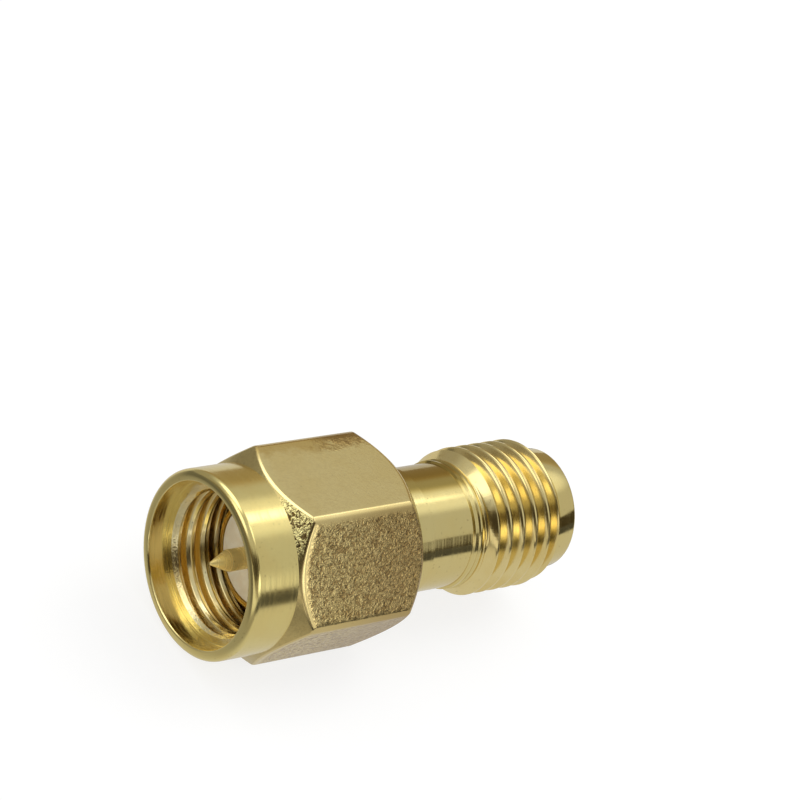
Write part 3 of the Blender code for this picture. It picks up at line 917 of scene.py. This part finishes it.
def place_camera():
    along = Vector((math.sin(VIEW_TURN) * math.cos(VIEW_DIP), -math.sin(VIEW_DIP),
                    math.cos(VIEW_TURN) * math.cos(VIEW_DIP)))
    above = Vector((0.0, -1.0, 0.0))
    above = (above - along * above.dot(along)).normalized()
    beside = along.cross(above)
    up = above * math.cos(FLAT_ROLL) + beside * math.sin(FLAT_ROLL)
    left = up.cross(along)
    origin = FRONT_FACE_SEEN + along * HALF_LENGTH - up * AXIS_HEIGHT
    seen = Matrix((along, left, up))
    eye = seen @ (-origin) * MM
    right = seen @ Vector((1.0, 0.0, 0.0))
    top = seen @ Vector((0.0, -1.0, 0.0))
    back = seen @ Vector((0.0, 0.0, -1.0))
    data = bpy.data.cameras.new("photo_camera")
    data.angle = FIELD_OF_VIEW
    data.clip_start = 0.001
    camera = bpy.data.objects.new("photo_camera", data)
    turned = Matrix((right, top, back)).transposed().to_4x4()
    turned = turned @ Matrix.Rotation(-CAMERA_SWING, 4, "Y") @ Matrix.Rotation(-CAMERA_ROLL, 4, "Z")
    camera.matrix_world = Matrix.Translation(eye) @ turned
    bpy.context.scene.collection.objects.link(camera)
    bpy.context.scene.camera = camera


# Studio, floor and lamp

WHITE = (1.0, 1.0, 1.0, 1.0)
BLACK = (0.0, 0.0, 0.0, 1.0)
PANEL_WHITE = (1.0, 1.0, 0.98, 1.0)
WARM_SHADE = (1.0, 0.80, 0.48, 1.0)
FLOOR_GREY = (0.86, 0.86, 0.85, 1.0)
FLOOR_IN_GOLD = (1.0, 0.98, 0.94, 1.0)

# Soft panels and dark zones of the studio, seen only in gloss, each laid over those before it:
# azimuth, height, angle where it starts to fade, angle where it ends, and level
PANELS = (
    (85, 57, 12, 25, 1.05), (85, 57, 3, 7.5, 2.7), (-75, 39, 10, 23, 1.8),
    (-10, 60, 14, 26, 2.2), (132, 66, 7, 13, 1.9), (157, 37, 7, 11, 0.10),
    (165, 17, 7, 10, 2.3), (-110, 8, 10, 15, 0.07), (-179, 14, 6, 9, 1.6),
    (-126, 21, 12, 17, 0.05), (-146, 29, 12, 17, 0.05), (-170, 36, 12, 17, 0.05))

# Painted light and shade on the floor, seen only in the gold, each laid over those before it: where
# it fades in along x and across it, in metres, and level. The first two are dark patches, and the
# last is a bright patch.
FLOOR_ZONES = (
    ((-0.014, -0.020), (-0.009, -0.006), 0.14),
    ((-0.022, -0.016), (-0.018, -0.023), 0.05),
    ((-0.016, -0.022), (-0.007, -0.010), 0.9))


def direction_to(azimuth, height):
    """Direction for an azimuth from +y towards +x and a height over the floor, in degrees."""
    turned, raised = math.radians(azimuth), math.radians(height)
    return Vector((math.sin(turned) * math.cos(raised), math.cos(turned) * math.cos(raised),
                   math.sin(raised)))


def in_gloss(tree, path):
    """1 for the rays that are mirrored or pass through glass, and 0 for the others."""
    return math_node(tree, "MAXIMUM", path.outputs["Is Glossy Ray"],
                     path.outputs["Is Transmission Ray"])


def room_level(tree, direction):
    """Level of the room in gloss, and a mask: 0 where it is warm however bright it is."""
    parts = split(tree, direction)
    to_degrees = 180.0 / math.pi
    azimuth = times(tree, math_node(tree, "ARCTAN2", parts[0], parts[1]), to_degrees)
    height = times(tree, math_node(tree, "ARCSINE", parts[2]), to_degrees)
    level = mapped(tree, height, 20.0, 36.0, 0.36, 0.58)

    # Low in front of the plug it is darker.
    front = times(tree, mapped(tree, azimuth, -30.0, -50.0),
                  mapped(tree, azimuth, -135.0, -120.0))
    level = between(tree, times(tree, front, mapped(tree, height, 18.0, 10.0)), level, 0.20)

    # To the camera's right it glows near the horizon, and a dark strip slants through that.
    side = times(tree, mapped(tree, azimuth, 92.0, 112.0), mapped(tree, azimuth, 178.0, 160.0))
    glow = times(tree, mapped(tree, azimuth, 140.5, 143.0), mapped(tree, height, 24.0, 12.0))
    level = between(tree, side, level, math_node(tree, "MULTIPLY_ADD", glow, 0.42, 0.60))
    edge = mapped(tree, azimuth, 139.9, 142.4, 15.0, 2.5, soft=False)
    strip = mapped(tree, math_node(tree, "SUBTRACT", edge, height), -1.2, 1.2)
    level = between(tree, times(tree, strip, side), level, 0.06)

    for turned, raised, inner, outer, shown in PANELS:
        dot = add_node(tree, "ShaderNodeVectorMath", operation="DOT_PRODUCT")
        tree.links.new(direction, dot.inputs[0])
        dot.inputs[1].default_value = direction_to(turned, raised)
        panel = mapped(tree, dot.outputs["Value"], math.cos(math.radians(outer)),
                       math.cos(math.radians(inner)))
        level = between(tree, panel, level, shown)

    # Behind the adapter, as the camera sees it, stays warm.
    behind = times(tree, times(tree, mapped(tree, azimuth, 5.0, 25.0),
                               mapped(tree, azimuth, 80.0, 65.0)),
                   mapped(tree, height, 34.0, 26.0))
    return level, math_node(tree, "SUBTRACT", 1.0, behind)


def studio_world():
    """Pale room: plain light for what scatters it, soft panels and a dark horizon for gloss."""
    world = bpy.data.worlds.new("studio")
    bpy.context.scene.world = world
    world.use_nodes = True
    tree = world.node_tree
    background = tree.nodes["Background"]
    level, not_behind = room_level(tree, add_node(tree, "ShaderNodeTexCoord").outputs["Generated"])
    pale = math_node(tree, "MINIMUM", mapped(tree, level, 0.08, 0.5), not_behind)
    warm = mixed(tree, pale, WARM_SHADE, PANEL_WHITE)
    path = add_node(tree, "ShaderNodeLightPath")
    mirrored = in_gloss(tree, path)
    plain = mapped(tree, path.outputs["Is Camera Ray"], 0.0, 1.0, 0.80, 1.0, soft=False)
    tree.links.new(between(tree, mirrored, plain, level), background.inputs["Strength"])
    tree.links.new(mixed(tree, mirrored, WHITE, warm), background.inputs["Color"])


def make_floor():
    """Plain pale floor, white to the camera but for a soft shadow; in the gold it is a painted
    glow, pale grey, with a painted shadow in front of the plug and dark and bright patches.
    """
    deselect()
    bpy.ops.mesh.primitive_plane_add(size=1.2)
    floor = bpy.context.active_object
    floor.name = "floor"
    material = bpy.data.materials.new("pale_floor")
    material.use_nodes = True
    tree = material.node_tree
    shader = tree.nodes["Principled BSDF"]
    shader.inputs["Roughness"].default_value = 0.7
    shader.inputs["Specular IOR Level"].default_value = 0.1
    shader.inputs["Emission Color"].default_value = FLOOR_IN_GOLD
    path = add_node(tree, "ShaderNodeLightPath")
    mirrored = in_gloss(tree, path)
    along, across, _ = split(tree, add_node(tree, "ShaderNodeTexCoord").outputs["Object"])
    # Painted shadow: in the gold, the floor is darker in front of the plug, where the adapter's
    # shadow falls.
    level = mapped(tree, along, -0.012, -0.008, 0.36, 0.66)
    for along_fade, across_fade, shown in FLOOR_ZONES:
        zone = times(tree, mapped(tree, along, *along_fade), mapped(tree, across, *across_fade))
        level = between(tree, zone, level, shown)
    tree.links.new(mixed(tree, mirrored, FLOOR_GREY, BLACK), shader.inputs["Base Color"])
    tree.links.new(times(tree, level, mirrored), shader.inputs["Emission Strength"])
    white = add_node(tree, "ShaderNodeEmission")
    white.inputs["Strength"].default_value = 1.12
    blended = add_node(tree, "ShaderNodeMixShader")
    put(tree, times(tree, path.outputs["Is Camera Ray"], 0.7), blended.inputs[0])
    tree.links.new(shader.outputs[0], blended.inputs[1])
    tree.links.new(white.outputs[0], blended.inputs[2])
    tree.links.new(blended.outputs[0], tree.nodes["Material Output"].inputs["Surface"])
    floor.data.materials.append(material)


def add_lamp(name, azimuth, height, distance, size, power):
    """Square lamp that shines at the middle of the adapter and isn't seen in the gold."""
    data = bpy.data.lights.new(name, "AREA")
    data.size = size
    data.energy = power
    lamp = bpy.data.objects.new(name, data)
    towards = direction_to(azimuth, height)
    lamp.location = towards * distance + Vector((0.0, 0.0, AXIS_HEIGHT * MM))
    lamp.rotation_euler = towards.to_track_quat("Z", "Y").to_euler()
    lamp.visible_glossy = False
    bpy.context.scene.collection.objects.link(lamp)


place_camera()
studio_world()
make_floor()
add_lamp("key_panel", azimuth=90, height=56, distance=0.25, size=0.16, power=0.16)

scene = bpy.context.scene
scene.view_settings.view_transform = "Standard"

bpy.context.view_layer.update()
